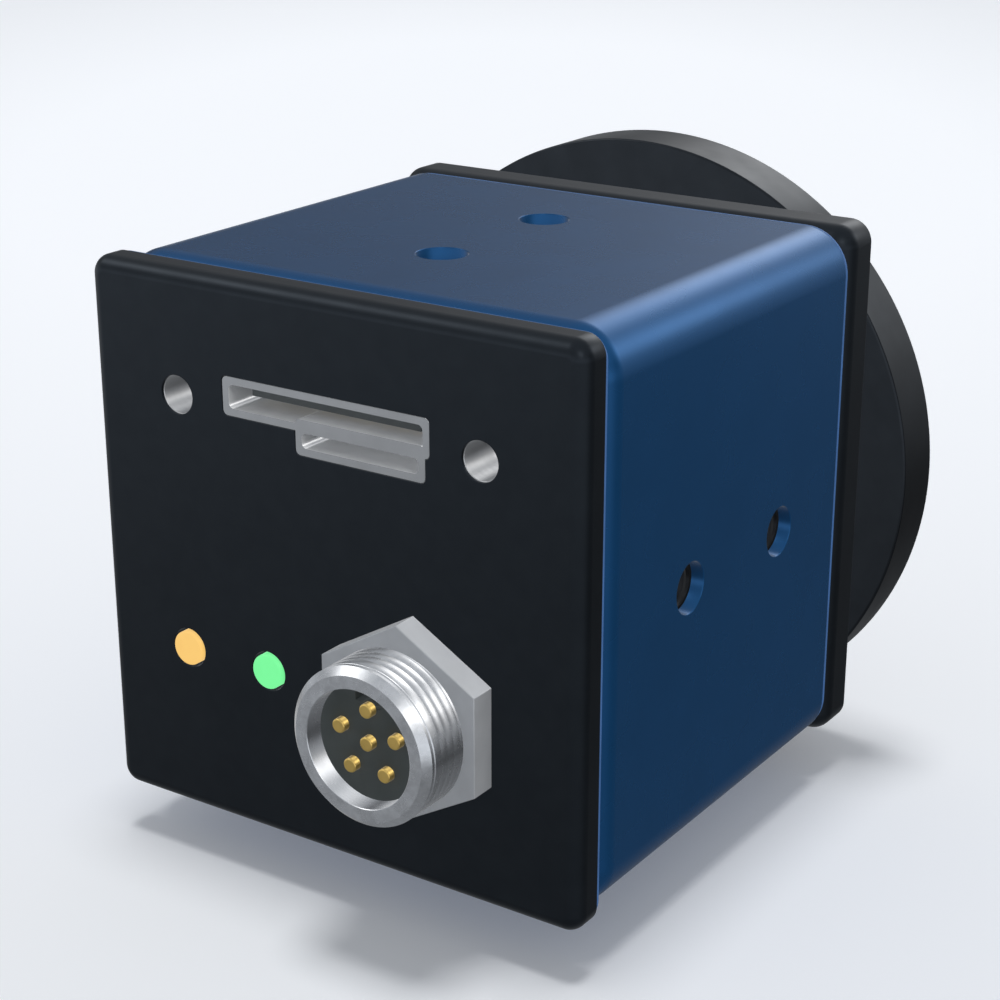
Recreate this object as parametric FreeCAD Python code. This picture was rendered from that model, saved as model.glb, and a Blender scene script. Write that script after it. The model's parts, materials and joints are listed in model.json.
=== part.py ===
import FreeCAD, Part
import math
import os

# ---------------------------------------------------------------------------
# Cubic machine vision camera, 29 mm square, C-mount, USB 3 Micro-B and a
# threaded round 6-pin connector at the rear.  Millimetres.
# Frame: the origin is the centre of the lens-mount flange face on the optical
# axis.  +Y is the way the camera looks, +X is to the right seen from behind,
# +Z is up.  Depths below are first given from the outer face of the rear cover
# and moved to the frame by Y() when a solid is made.
# ---------------------------------------------------------------------------

os.makedirs("parts", exist_ok=True)

# --- outer case ---
CASE = 29.0                # outer square of covers and sleeve
H = CASE / 2.0
REAR_TO_FLANGE = 30.95     # rear face to lens-mount flange face
FLANGE_FOCAL = 17.526      # C-mount flange to sensor surface

REAR_T = 1.70              # rear cover plate
REAR_CORNER = 1.00
REAR_EDGE = 0.80           # rounding of its outer face
GASKET_T = 0.20
SLEEVE_Y0 = REAR_T + GASKET_T + 0.02
SLEEVE_Y1 = 25.60
SLEEVE_CORNER = 2.45
SLEEVE_EDGE = 1.30         # rounding of its rear end
SLEEVE_WALL = 0.70
FRONT_Y0 = SLEEVE_Y1 + GASKET_T
FRONT_Y1 = 28.55
FRONT_CORNER = 1.20
FRONT_EDGE = 1.15          # rounding of its rear edge

# --- lens side ---
CMOUNT_R = 12.70           # 1 inch thread, nominal radius
RING_R = 14.00
RING_Y0 = 27.20
CAP_R = 17.20
CAP_Y0 = 28.60
CAP_Y1 = 32.30
CAP_FIT = 0.05             # radial clearance of the push-on cap
BORE_FRONT = 12.20         # clear bore through the front cover

# --- side screw holes (M3) ---
M3_R = 1.32
M3_Y = (9.85, 19.10)
M3_DEPTH = 3.25

# --- rear connectors ---
JACK_X = 9.00
JACK_Z = 8.17
JACK_R = 0.985
JACK_OD = 1.38
USB_UP = (-6.05, 6.20, 7.70, 9.65)
USB_LO = (-1.60, 5.95, 6.50, 7.95)
USB_WALL = 0.37
IO_X = 5.20
IO_Z = -5.30
IO_THREAD_R = 4.00
IO_BORE_R = 2.97
IO_FRONT = -4.50
IO_HEX_AF = 8.88
IO_HEX_T = 1.45
IO_FACE = -3.50
PIN_R = 0.36
PIN_PCD_R = 1.68
PIN_TIP = -3.86
LED_AMBER = (-9.03, -5.33)
LED_GREEN = (-3.82, -5.33)
LED_R = 0.905
LED_OUT = 0.15

# --- inner construction ---
SCREW_XZ = 11.50           # four long case screws
FRAME_HALF = 13.72
CAVITY_HALF = 10.80
CAVITY_R = 2.20
FRAME_Y0 = 4.80
HOLDER_Y0 = 15.30
HOLDER_Y1 = 24.55
BOARD_HALF = 10.55
BOARD_R = 2.30
BOARD_SCREW = 8.60
IFB_Y = (5.60, 6.40)       # interface board
MAIN_Y = (8.20, 9.00)      # main board
SENS_Y = (11.40, 12.20)    # sensor board
SENSOR_Y = REAR_TO_FLANGE - FLANGE_FOCAL


def Y(v):
    return v - REAR_TO_FLANGE


def V(x, y, z):
    return FreeCAD.Vector(x, Y(y), z)


def box(x0, x1, y0, y1, z0, z1):
    return Part.makeBox(x1 - x0, y1 - y0, z1 - z0, V(x0, y0, z0))


def cyl(x, z, r, y0, y1):
    return Part.makeCylinder(r, y1 - y0, V(x, y0, z), FreeCAD.Vector(0, 1, 0))


def cone(x, z, r0, r1, y0, y1):
    return Part.makeCone(r0, r1, y1 - y0, V(x, y0, z), FreeCAD.Vector(0, 1, 0))


def tube(x, z, ro, ri, y0, y1):
    return cyl(x, z, ro, y0, y1).cut(cyl(x, z, ri, y0 - 1, y1 + 1))


def prism(pts, y0, y1):
    """Closed polygon of (x, z) points pushed along Y."""
    w = Part.makePolygon([V(x, y0, z) for x, z in pts + pts[:1]])
    return Part.Face(w).extrude(FreeCAD.Vector(0, y1 - y0, 0))


def turned(x, z, prof):
    """Solid of revolution about the line through (x, z) along Y.
    prof is a closed list of (radius, depth)."""
    w = Part.makePolygon([V(x + r, y, z) for r, y in prof + prof[:1]])
    return Part.Face(w).revolve(V(x, 0, z), FreeCAD.Vector(0, 1, 0), 360)


def rsq(hx, r, y0, y1, hz=None, cx=0.0, cz=0.0):
    """Rounded rectangular bar along Y."""
    hz = hx if hz is None else hz
    b = box(cx - hx, cx + hx, y0, y1, cz - hz, cz + hz)
    if r <= 0:
        return b
    es = [e for e in b.Edges
          if abs(e.Vertexes[0].Point.x - e.Vertexes[1].Point.x) < 1e-6
          and abs(e.Vertexes[0].Point.z - e.Vertexes[1].Point.z) < 1e-6]
    return b.makeFillet(r, es)


def edges_at(shape, y):
    """Edges that lie wholly in the plane at depth y."""
    out = []
    for e in shape.Edges:
        bb = e.BoundBox
        if abs(bb.YMin - Y(y)) < 1e-5 and abs(bb.YMax - Y(y)) < 1e-5:
            out.append(e)
    return out


def four(v):
    return [(sx * v, sz * v) for sx in (-1, 1) for sz in (-1, 1)]


def union(items):
    s = items[0]
    for t in items[1:]:
        s = s.fuse(t)
    return s.removeSplitter()


def group(items):
    return Part.makeCompound(items)


def side_holes(y, r, outer, inner):
    """Holes at depth y in the four sides, from half-width inner to outer."""
    out = []
    for d in ((1, 0), (-1, 0), (0, 1), (0, -1)):
        out.append(Part.makeCylinder(r, outer - inner,
                                     FreeCAD.Vector(d[0] * inner, Y(y), d[1] * inner),
                                     FreeCAD.Vector(d[0], 0, d[1])))
    return out


NODES = {}


def node(name, shape):
    NODES[name] = shape


# ---------------------------------------------------------------------------
# Case
# ---------------------------------------------------------------------------

# Rear cover: plate with a rounded outer face, a frame that enters the sleeve,
# four screw posts and two bosses for the jackscrew inserts.
plate = rsq(H, REAR_CORNER, 0.0, REAR_T)
plate = plate.makeFillet(REAR_EDGE, edges_at(plate, 0.0))
lip = rsq(12.95, 1.9, REAR_T - 0.1, 4.50).cut(rsq(11.60, 1.2, REAR_T - 0.2, 5.0))
posts = [rsq(1.70, 0.5, REAR_T - 0.1, 4.50, cx=x * 11.25 / SCREW_XZ, cz=z * 11.25 / SCREW_XZ)
         for x, z in four(SCREW_XZ)]
bosses = [cyl(s * JACK_X, JACK_Z, 2.15, REAR_T - 0.1, 3.80) for s in (-1, 1)]
rear = union([plate, lip] + posts + bosses)
rear = rear.common(rsq(H, REAR_CORNER, -1, REAR_T + 0.0).fuse(rsq(12.95, 1.9, REAR_T - 0.5, 6)))
for x, z in four(SCREW_XZ):
    rear = rear.cut(cyl(x, z, 1.0, 1.05, 5.0))
for s in (-1, 1):
    rear = rear.cut(cyl(s * JACK_X, JACK_Z, JACK_R + 0.01, -1.0, 1.0))
    rear = rear.cut(cyl(s * JACK_X, JACK_Z, JACK_OD + 0.01, 0.16, 4.0))
GAP = 0.03
usb_open = box(USB_UP[0] - GAP, USB_UP[1] + GAP, -1, 5, USB_UP[2] - GAP, USB_UP[3] + GAP).fuse(
    box(USB_LO[0] - GAP, USB_LO[1] + GAP, -1, 5, USB_LO[2] - GAP, USB_LO[3] + GAP))
rear = rear.cut(usb_open)
rear = rear.cut(cyl(IO_X, IO_Z, 3.55, -1, 5))
for x, z in (LED_AMBER, LED_GREEN):
    rear = rear.cut(cyl(x, z, LED_R + 0.135, -1, 5))
node("rear_cover", rear)

# Flat silicone gaskets whose edges show as a thin line at each end of the body.
rg = rsq(H - 0.06, 1.15, REAR_T + 0.01, REAR_T + 0.01 + GASKET_T).cut(rsq(13.0, 1.9, 0, 5))
node("rear_gasket", rg)
fg = rsq(H - 0.03, SLEEVE_CORNER, SLEEVE_Y1 + 0.0, FRONT_Y0).cut(rsq(13.78, 1.75, 20, 30))
node("front_gasket", fg)

# Body sleeve: square tube with rounded corners and a rounded rear end.
sl = rsq(H, SLEEVE_CORNER, SLEEVE_Y0, SLEEVE_Y1)
sl = sl.makeFillet(SLEEVE_EDGE, edges_at(sl, SLEEVE_Y0))
sl = sl.makeChamfer(0.12, edges_at(sl, SLEEVE_Y1))
sl = sl.cut(rsq(H - SLEEVE_WALL, SLEEVE_CORNER - SLEEVE_WALL, FRAME_Y0 - 0.05, SLEEVE_Y1 + 1))
sl = sl.cut(rsq(13.0, 1.95, SLEEVE_Y0 - 1, FRAME_Y0))
for y in M3_Y:
    for c in side_holes(y, M3_R, H + 1, H - 2):
        sl = sl.cut(c)
node("body_sleeve", sl)

# Front cover: plate with a rounded rear edge, a short skirt inside the sleeve,
# the seat for the lens-mount ring and countersinks for the case screws.
fc = rsq(H, FRONT_CORNER, FRONT_Y0, FRONT_Y1)
fc = fc.makeFillet(FRONT_EDGE, edges_at(fc, FRONT_Y0))
fc = fc.makeFillet(0.15, edges_at(fc, FRONT_Y1))
fc = fc.fuse(rsq(13.70, 1.70, HOLDER_Y1 + 0.05, FRONT_Y0 + 0.5).common(
    rsq(13.70, 1.70, 20, 30))).removeSplitter()
fc = fc.cut(cyl(0, 0, BORE_FRONT, 20, 30)).cut(cyl(0, 0, RING_R + 0.02, RING_Y0, 30))
for x, z in four(SCREW_XZ):
    fc = fc.cut(cyl(x, z, 1.05, 20, 30))
    fc = fc.cut(cone(x, z, 1.05, 1.85, FRONT_Y1 - 0.80, FRONT_Y1 + 0.001))
node("front_cover", fc)

# Lens-mount ring: 1 inch threaded ring seated in the front cover.
ring = turned(0, 0, [(CMOUNT_R, RING_Y0 + 0.01), (RING_R, RING_Y0 + 0.01), (RING_R, REAR_TO_FLANGE - 0.25),
                     (RING_R - 0.25, REAR_TO_FLANGE), (CMOUNT_R, REAR_TO_FLANGE)])
node("lens_mount_ring", ring)

# Push-on dust cap: a solid rim over the mount ring, closed in front, with a
# shallow dish in its outer face.
ci = RING_R + CAP_FIT
cap = turned(0, 0, [(0, REAR_TO_FLANGE + 0.35), (ci, REAR_TO_FLANGE + 0.35), (ci, CAP_Y0 + 0.3),
                    (ci + 0.3, CAP_Y0), (CAP_R - 0.12, CAP_Y0), (CAP_R, CAP_Y0 + 0.12),
                    (CAP_R, CAP_Y1 - 0.3), (CAP_R - 0.3, CAP_Y1), (CAP_R - 2.2, CAP_Y1),
                    (CAP_R - 2.7, CAP_Y1 - 0.35), (0, CAP_Y1 - 0.35)])
node("dust_cap", cap)

# Long countersunk case screws, front cover to rear cover.
scr = []
for x, z in four(SCREW_XZ):
    s = turned(x, z, [(0, 1.30), (0.80, 1.30), (0.97, 1.50), (0.97, FRONT_Y1 - 0.83),
                      (1.76, FRONT_Y1 - 0.04), (0, FRONT_Y1 - 0.04)])
    s = s.cut(prism([(x + 0.75 * math.cos(math.radians(a)), z + 0.75 * math.sin(math.radians(a)))
                     for a in range(30, 390, 60)], FRONT_Y1 - 0.65, FRONT_Y1 + 1))
    scr.append(s)
node("case_screws", group(scr))

# ---------------------------------------------------------------------------
# Frame inside the sleeve
# ---------------------------------------------------------------------------
fr = rsq(FRAME_HALF, 1.67, FRAME_Y0, HOLDER_Y0 - 0.02).cut(rsq(CAVITY_HALF, CAVITY_R, 0, 30))
for x, z in four(SCREW_XZ):
    fr = fr.cut(cyl(x, z, 1.05, 0, 30))
for c in side_holes(M3_Y[0], M3_R, H, H - M3_DEPTH):
    fr = fr.cut(c)
node("inner_frame", fr)

FILTER_Y = 16.20
hol = rsq(FRAME_HALF, 1.67, HOLDER_Y0, HOLDER_Y1)
hol = hol.cut(cyl(0, 0, 8.50, 0, 30)).cut(cyl(0, 0, 10.30, FILTER_Y, 30)).cut(cyl(0, 0, 10.60, 19.0, 30))
for x, z in four(SCREW_XZ):
    hol = hol.cut(cyl(x, z, 1.05, 0, 30))
for c in side_holes(M3_Y[1], M3_R, H, H - M3_DEPTH):
    hol = hol.cut(c)
for x, z in four(BOARD_SCREW):
    hol = hol.cut(cyl(x, z, 0.68, HOLDER_Y0 - 1, HOLDER_Y0 + 3.2))
node("sensor_holder", hol)

node("filter_glass", cyl(0, 0, 10.20, FILTER_Y, FILTER_Y + 1.0))
rr = turned(0, 0, [(8.80, 17.22), (10.27, 17.22), (10.27, 18.60), (9.30, 18.60), (8.80, 18.10)])
for s in (-1, 1):
    rr = rr.cut(box(s * 9.6 - 1.2, s * 9.6 + 1.2, 18.0, 19.0, -0.5, 0.5))
node("filter_retaining_ring", rr)

# ---------------------------------------------------------------------------
# Sensor
# ---------------------------------------------------------------------------
pk = rsq(8.0, 0.3, 12.22, 14.10, hz=7.0).cut(rsq(6.3, 0.3, 12.95, 15.0, hz=5.3))
node("sensor_package", pk)
node("sensor_die", box(-5.7, 5.7, 12.96, SENSOR_Y, -4.3, 4.3))
node("sensor_window", rsq(6.9, 0.2, 14.11, 14.71, hz=5.9))
sg = rsq(8.0, 0.6, 14.12, 15.28, hz=7.0).cut(rsq(7.0, 0.3, 10, 20, hz=6.0))
node("sensor_gasket", sg)

# ---------------------------------------------------------------------------
# Boards
# ---------------------------------------------------------------------------


def board(y):
    b = rsq(BOARD_HALF, BOARD_R, y[0], y[1])
    for x, z in four(BOARD_SCREW):
        b = b.cut(cyl(x, z, 0.75, y[0] - 1, y[1] + 1))
    return b


pins = [(0.0, 0.0)] + [(PIN_PCD_R * math.cos(math.radians(90 + 72 * i)),
                        PIN_PCD_R * math.sin(math.radians(90 + 72 * i))) for i in range(5)]
ib = board(IFB_Y)
for x, z in pins:
    ib = ib.cut(cyl(IO_X + x, IO_Z + z, 0.42, 5, 7))
node("interface_board", ib)
node("main_board", board(MAIN_Y))
node("sensor_board", board(SENS_Y))


def spacers(y0, y1):
    return group([tube(x, z, 1.20, 0.75, y0 + 0.01, y1 - 0.01) for x, z in four(BOARD_SCREW)])


node("board_spacers_rear", spacers(IFB_Y[1], MAIN_Y[0]))
node("board_spacers_mid", spacers(MAIN_Y[1], SENS_Y[0]))
node("board_spacers_front", spacers(SENS_Y[1], HOLDER_Y0))
bs = []
for x, z in four(BOARD_SCREW):
    s = turned(x, z, [(0, 4.90), (1.05, 4.90), (1.15, 5.05), (1.15, 5.58), (0.65, 5.58), (0.65, 17.6),
                      (0.45, 17.9), (0, 17.9)])
    s = s.cut(prism([(x + 0.45 * math.cos(math.radians(a)), z + 0.45 * math.sin(math.radians(a)))
                     for a in range(0, 360, 60)], 4.0, 5.30))
    bs.append(s)
node("board_screws", group(bs))

node("processor_chip", union([box(-6.0, 6.0, 9.25, 9.90, -4.0, 8.0),
                              box(-5.2, 5.2, 9.02, 9.30, -3.2, 7.2)]))
node("thermal_pad", box(-5.5, 5.5, 9.91, 10.29, -3.5, 7.5))
hs = rsq(10.72, 2.12, 10.30, 11.00).cut(box(-7.2, 7.2, 9, 12, -11, -6.4))
for x, z in four(BOARD_SCREW):
    hs = hs.cut(cyl(x, z, 1.45, 9, 12))
node("heat_spreader", hs)
node("memory_chips", group([box(-7.6, -1.2, 7.25, 8.18, 1.0, 6.0), box(1.2, 7.6, 7.25, 8.18, 1.0, 6.0)]))


def stack_connector(cx, cz, y0, y1, w, d):
    """Header on the lower board and receptacle on the upper one, mated."""
    m = (y0 + y1) / 2.0
    a = box(cx - w / 2, cx + w / 2, y0 + 0.01, m - 0.01, cz - d / 2, cz + d / 2)
    b = box(cx - w / 2 + 0.3, cx + w / 2 - 0.3, m, y1 - 0.01, cz - d / 2 + 0.25, cz + d / 2 - 0.25)
    return [a, b]


node("board_connectors", group(stack_connector(0, -8.3, MAIN_Y[1], SENS_Y[0], 12.6, 3.0)
                               + stack_connector(-2.0, -2.2, IFB_Y[1], MAIN_Y[0], 9.0, 3.0)))
sm = []
for i in range(6):
    sm.append(box(-7.0 + i * 1.5, -6.2 + i * 1.5, 7.62, 8.18, -7.6, -6.1))
for i in range(4):
    sm.append(box(-9.6, -8.5, 6.42, 7.10, -5.2 + i * 1.7, -4.2 + i * 1.7))
for i in range(5):
    sm.append(box(9.05, 9.85, 12.22, 12.75, -4.2 + i * 1.7, -3.2 + i * 1.7))
sm.append(rsq(2.0, 0.5, 6.42, 7.90, cx=7.85, cz=-1.2))
sm.append(box(3.0, 5.6, 4.85, 5.58, 1.0, 3.6))
sm.append(box(-6.6, -3.6, 4.75, 5.58, 0.6, 3.6))
node("board_parts", group(sm))

# ---------------------------------------------------------------------------
# USB receptacle: stepped metal shell, dark insulator with its tongue, contacts
# ---------------------------------------------------------------------------
USB_Y0 = 0.04
USB_Y1 = 5.50
USB_DEEP = 2.30


def usb_bar(t, y0, y1, r):
    cx, cz = (t[0] + t[1]) / 2.0, (t[2] + t[3]) / 2.0
    return rsq((t[1] - t[0]) / 2.0, r, y0, y1, hz=(t[3] - t[2]) / 2.0, cx=cx, cz=cz)


up_in = (USB_UP[0] + USB_WALL, USB_UP[1] - USB_WALL, USB_UP[2] + USB_WALL, USB_UP[3] - USB_WALL)
lo_in = (USB_LO[0] + USB_WALL, USB_LO[1] - USB_WALL, USB_LO[2] + USB_WALL, 7.64)
lo_out = (USB_LO[0], USB_LO[1], USB_LO[2], 8.29)
shell = union([usb_bar(USB_UP, USB_Y0, USB_Y1, 0.27).cut(usb_bar(up_in, -1, 6, 0.20)),
               usb_bar(lo_out, USB_Y0, USB_Y1, 0.27)]).cut(usb_bar(lo_in, -1, 6, 0.20))
node("usb_shell", shell)

g = 0.01
def inset(t):
    return (t[0] + g, t[1] - g, t[2] + g, t[3] - g)


ins = [usb_bar(inset(up_in), USB_DEEP, USB_Y1, 0.19),
       box(-4.94, 5.09, 0.93, USB_DEEP + 0.2, 8.60, 8.98)]
slots = [box(-4.45 + i * 0.905 - 0.14, -4.45 + i * 0.905 + 0.14, 1.10, 6, 8.54, 8.66) for i in range(11)]
insul = union(ins)
for s in slots:
    insul = insul.cut(s)
insul = insul.cut(usb_bar((lo_out[0] - g, lo_out[1] + g, lo_out[2], lo_out[3] + g), 0, 6, 0.28))
insul_lo = usb_bar(inset(lo_in), USB_DEEP - 0.25, USB_Y1, 0.19)
node("usb_insulator", group([insul, insul_lo]))
node("usb_contacts", group([box(-4.45 + i * 0.905 - 0.12, -4.45 + i * 0.905 + 0.12, 1.12, 5.58, 8.55, 8.65)
                            for i in range(11)]))

# Blind M2 inserts for the cable's jackscrews.
ji = []
for s in (-1, 1):
    ji.append(turned(s * JACK_X, JACK_Z, [(JACK_R, 0.17), (JACK_OD, 0.17), (JACK_OD, 3.95), (0, 3.95),
                                          (0, 3.45), (JACK_R, 3.45)]))
node("jackscrew_inserts", group(ji))

# ---------------------------------------------------------------------------
# Round connector
# ---------------------------------------------------------------------------
hexr = IO_HEX_AF / math.sqrt(3.0)
hexp = [(IO_X + hexr * math.cos(math.radians(90 + 60 * i)), IO_Z + hexr * math.sin(math.radians(90 + 60 * i)))
        for i in range(6)]
sh = turned(IO_X, IO_Z, [
    (IO_BORE_R, IO_FRONT), (IO_THREAD_R - 0.37, IO_FRONT), (IO_THREAD_R, IO_FRONT + 0.37),
    (IO_THREAD_R, -1.0), (3.80, -1.0), (3.80, -0.5), (3.50, -0.5), (3.50, 4.60), (3.30, 4.80), (2.60, 4.80),
    (2.60, -1.0), (IO_BORE_R, -1.0)])
hx = prism(hexp, -IO_HEX_T, -0.01)
hx = hx.cut(cyl(IO_X, IO_Z, 3.0, -3, 1)).cut(tube(IO_X, IO_Z, 4.25, 3.55, -0.32, 1))
sh = union([sh, hx])
node("io_connector_shell", sh)

ins2 = union([cyl(IO_X, IO_Z, IO_BORE_R - 0.01, IO_FACE, -1.01), cyl(IO_X, IO_Z, 2.58, -1.2, 5.05)])
ins2 = ins2.cut(box(IO_X - 0.80, IO_X + 0.80, IO_FACE - 1, IO_FACE + 1.6, IO_Z + 1.96, IO_Z + 4))
for x, z in pins[1:2]:
    ins2 = ins2.fuse(cyl(IO_X + x, IO_Z + z, 0.46, IO_FACE, IO_FACE + 1.7)).removeSplitter()
for x, z in pins:
    ins2 = ins2.cut(cyl(IO_X + x, IO_Z + z, PIN_R + 0.01, -6, 6))
node("io_connector_insulator", ins2)
pl = []
for x, z in pins:
    pl.append(turned(IO_X + x, IO_Z + z, [(0, PIN_TIP), (PIN_R - 0.08, PIN_TIP), (PIN_R, PIN_TIP + 0.08),
                                          (PIN_R, 5.10), (0.30, 5.20), (0.30, 6.95), (0, 6.95)]))
node("io_connector_pins", group(pl))
nut = prism([(IO_X + 4.9 * math.cos(math.radians(90 + 60 * i)), IO_Z + 4.9 * math.sin(math.radians(90 + 60 * i)))
             for i in range(6)], REAR_T + 0.02, REAR_T + 1.45).cut(cyl(IO_X, IO_Z, 3.53, 0, 5))
node("io_connector_nut", nut)
node("io_connector_seal", turned(IO_X, IO_Z, [(3.60, -0.30), (4.20, -0.30), (4.20, -0.01), (3.60, -0.01)]))

# ---------------------------------------------------------------------------
# Status lights
# ---------------------------------------------------------------------------


def pipe(x, z):
    p = turned(x, z, [(0, -LED_OUT), (LED_R - 0.10, -LED_OUT), (LED_R, -LED_OUT + 0.10), (LED_R, 1.60),
                      (LED_R, 4.60), (0, 4.60)])
    return union([p, cyl(x, z, 1.45, REAR_T + 0.02, 2.40)])


node("light_pipe_amber", pipe(*LED_AMBER))
node("light_pipe_green", pipe(*LED_GREEN))
node("status_leds", group([union([box(x - 0.8, x + 0.8, 5.0, 5.59, z - 0.6, z + 0.6),
                                  cyl(x, z, 0.5, 4.72, 5.2)]) for x, z in (LED_AMBER, LED_GREEN)]))

# ---------------------------------------------------------------------------
for name, shape in NODES.items():
    if not shape.isValid():
        print("INVALID", name)
    vol = shape.Volume
    n = len(shape.Solids)
    bb = shape.BoundBox
    print("%-24s solids %2d  vol %9.2f  x %.2f..%.2f y %.2f..%.2f z %.2f..%.2f"
          % (name, n, vol, bb.XMin, bb.XMax, bb.YMin, bb.YMax, bb.ZMin, bb.ZMax))
    shape.exportStep("parts/%s.step" % name)
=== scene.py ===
import json
import math
import bpy
import bmesh
import numpy as np
from mathutils import Vector, Matrix

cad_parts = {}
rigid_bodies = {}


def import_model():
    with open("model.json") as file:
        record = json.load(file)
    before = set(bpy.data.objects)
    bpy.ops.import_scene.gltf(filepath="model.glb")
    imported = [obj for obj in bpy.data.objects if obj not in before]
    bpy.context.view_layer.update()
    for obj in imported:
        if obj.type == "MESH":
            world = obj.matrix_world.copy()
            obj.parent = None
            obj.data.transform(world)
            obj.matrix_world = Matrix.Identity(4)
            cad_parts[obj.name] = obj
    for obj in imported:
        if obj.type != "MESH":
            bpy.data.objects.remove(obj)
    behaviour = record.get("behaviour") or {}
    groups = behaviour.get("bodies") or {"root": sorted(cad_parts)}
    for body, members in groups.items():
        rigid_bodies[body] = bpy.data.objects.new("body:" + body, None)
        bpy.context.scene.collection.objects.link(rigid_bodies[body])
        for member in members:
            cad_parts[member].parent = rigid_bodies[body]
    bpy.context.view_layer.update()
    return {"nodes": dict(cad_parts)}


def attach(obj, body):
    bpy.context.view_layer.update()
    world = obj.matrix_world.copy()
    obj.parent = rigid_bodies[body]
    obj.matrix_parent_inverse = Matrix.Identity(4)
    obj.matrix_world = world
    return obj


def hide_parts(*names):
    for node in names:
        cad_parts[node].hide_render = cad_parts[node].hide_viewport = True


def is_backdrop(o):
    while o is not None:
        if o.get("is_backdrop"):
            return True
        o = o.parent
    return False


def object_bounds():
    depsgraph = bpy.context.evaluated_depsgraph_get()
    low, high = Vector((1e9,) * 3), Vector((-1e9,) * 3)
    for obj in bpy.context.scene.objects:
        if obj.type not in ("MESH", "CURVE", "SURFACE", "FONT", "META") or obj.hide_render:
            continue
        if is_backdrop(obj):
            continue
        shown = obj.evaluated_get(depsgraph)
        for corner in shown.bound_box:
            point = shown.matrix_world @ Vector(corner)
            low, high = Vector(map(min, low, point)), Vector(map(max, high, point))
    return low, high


# Looks of the cubic machine vision camera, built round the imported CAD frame.
# Everything here is written in millimetres in the row frame and scaled once.
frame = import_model()
NODES = frame["nodes"]
MM = 0.001
H = 14.5
FL = 30.95


def yy(v):
    """Depth from the rear cover's outer face to the row frame's Y."""
    return v - FL


# ---------------------------------------------------------------------------
# Mesh helpers
# ---------------------------------------------------------------------------
def link(name, me, origin=(0.0, 0.0, 0.0)):
    ob = bpy.data.objects.new(name, me)
    bpy.context.scene.collection.objects.link(ob)
    ob.location = Vector(origin) * MM
    return ob


def raw(name, verts, faces, origin=(0.0, 0.0, 0.0), merge=2e-4):
    """Object from vertices in millimetres, welded, with outward normals."""
    me = bpy.data.meshes.new(name)
    v = (np.asarray(verts, float) - np.asarray(origin, float)) * MM
    me.from_pydata([tuple(p) for p in v], [], [tuple(f) for f in faces])
    bm = bmesh.new()
    bm.from_mesh(me)
    bmesh.ops.remove_doubles(bm, verts=bm.verts, dist=merge * MM)
    bmesh.ops.dissolve_degenerate(bm, edges=bm.edges, dist=merge * MM)
    bmesh.ops.recalc_face_normals(bm, faces=bm.faces)
    bm.to_mesh(me)
    bm.free()
    me.update()
    return link(name, me, origin)


def grid_faces(cols, rows, wrap_rows):
    f = []
    for i in range(cols):
        a, b = i * rows, (i + 1) * rows
        for j in range(rows if wrap_rows else rows - 1):
            k = (j + 1) % rows
            f.append((a + j, a + k, b + k, b + j))
    return f


def lathe(name, prof, cx=0.0, cz=0.0, n=192, origin=None, merge=2e-4):
    """Closed solid of revolution along Y. prof is a closed loop of (radius, y)."""
    ang = np.linspace(0, 2 * math.pi, n, endpoint=False)
    p = np.asarray(prof, float)
    v = np.empty((n, len(p), 3))
    v[:, :, 0] = cx + p[None, :, 0] * np.cos(ang)[:, None]
    v[:, :, 1] = p[None, :, 1]
    v[:, :, 2] = cz + p[None, :, 0] * np.sin(ang)[:, None]
    m = len(p)
    f = []
    for i in range(n):
        a, b = i * m, ((i + 1) % n) * m
        for j in range(m):
            k = (j + 1) % m
            if p[j, 0] < 1e-9 and p[k, 0] < 1e-9:
                continue
            q = [a + j, a + k, b + k, b + j]
            if p[k, 0] < 1e-9:
                q = [a + j, a + k, b + j]
            elif p[j, 0] < 1e-9:
                q = [a + j, a + k, b + k]
            f.append(q)
    return raw(name, v.reshape(-1, 3), f, origin or (cx, 0, cz), merge)


def threaded(name, before, after, r, depth, y0, y1, pitch, crest=0.25, root=0.25, cx=0.0, cz=0.0,
             n=160, fade=0.35, phase=0.0):
    """Closed solid of revolution along Y with a real helical thread on one wall.
    The wall runs at radius r from y0 to y1; the groove goes depth towards the
    axis (or away from it where depth is negative). before and after are the
    rest of the closed profile, as (radius, y), in order."""
    fl = (1.0 - crest - root) / 2.0
    marks = [(0.0, 0.0), (crest, 0.0), (crest + fl, 1.0), (crest + fl + root, 1.0)]
    turns = int(math.ceil(abs(y1 - y0) / pitch)) + 2
    sg = 1.0 if y1 > y0 else -1.0
    cols = []
    for i in range(n + 1):
        t = i / n
        a = 2 * math.pi * t
        col = [(q[0], q[1]) for q in before]
        col.append((r, y0))
        for k in range(-1, turns):
            for s, d in marks:
                u = (k + s + t + phase) * pitch
                u = min(max(u, 0.0), abs(y1 - y0))
                e = min(u, abs(y1 - y0) - u) / (fade * pitch)
                e = min(max(e, 0.0), 1.0)
                e = e * e * (3 - 2 * e)
                col.append((r - depth * d * e, y0 + sg * u))
        col.append((r, y1))
        col += [(q[0], q[1]) for q in after]
        c, s_ = math.cos(a), math.sin(a)
        cols.append([(cx + q[0] * c, q[1], cz + q[0] * s_) for q in col])
    m = len(cols[0])
    v = [q for col in cols for q in col]
    return raw(name, v, grid_faces(n, m, True), (cx, 0, cz), 4e-4)


def ring(hx, hz, r, nc, cx=0.0, cz=0.0):
    out = []
    r = max(r, 1e-3)
    for k, (sx, sz) in enumerate(((1, 1), (-1, 1), (-1, -1), (1, -1))):
        for i in range(nc + 1):
            a = math.pi / 2 * (k + i / nc)
            out.append((cx + sx * (hx - r) + r * math.cos(a), cz + sz * (hz - r) + r * math.sin(a)))
    return out


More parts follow.
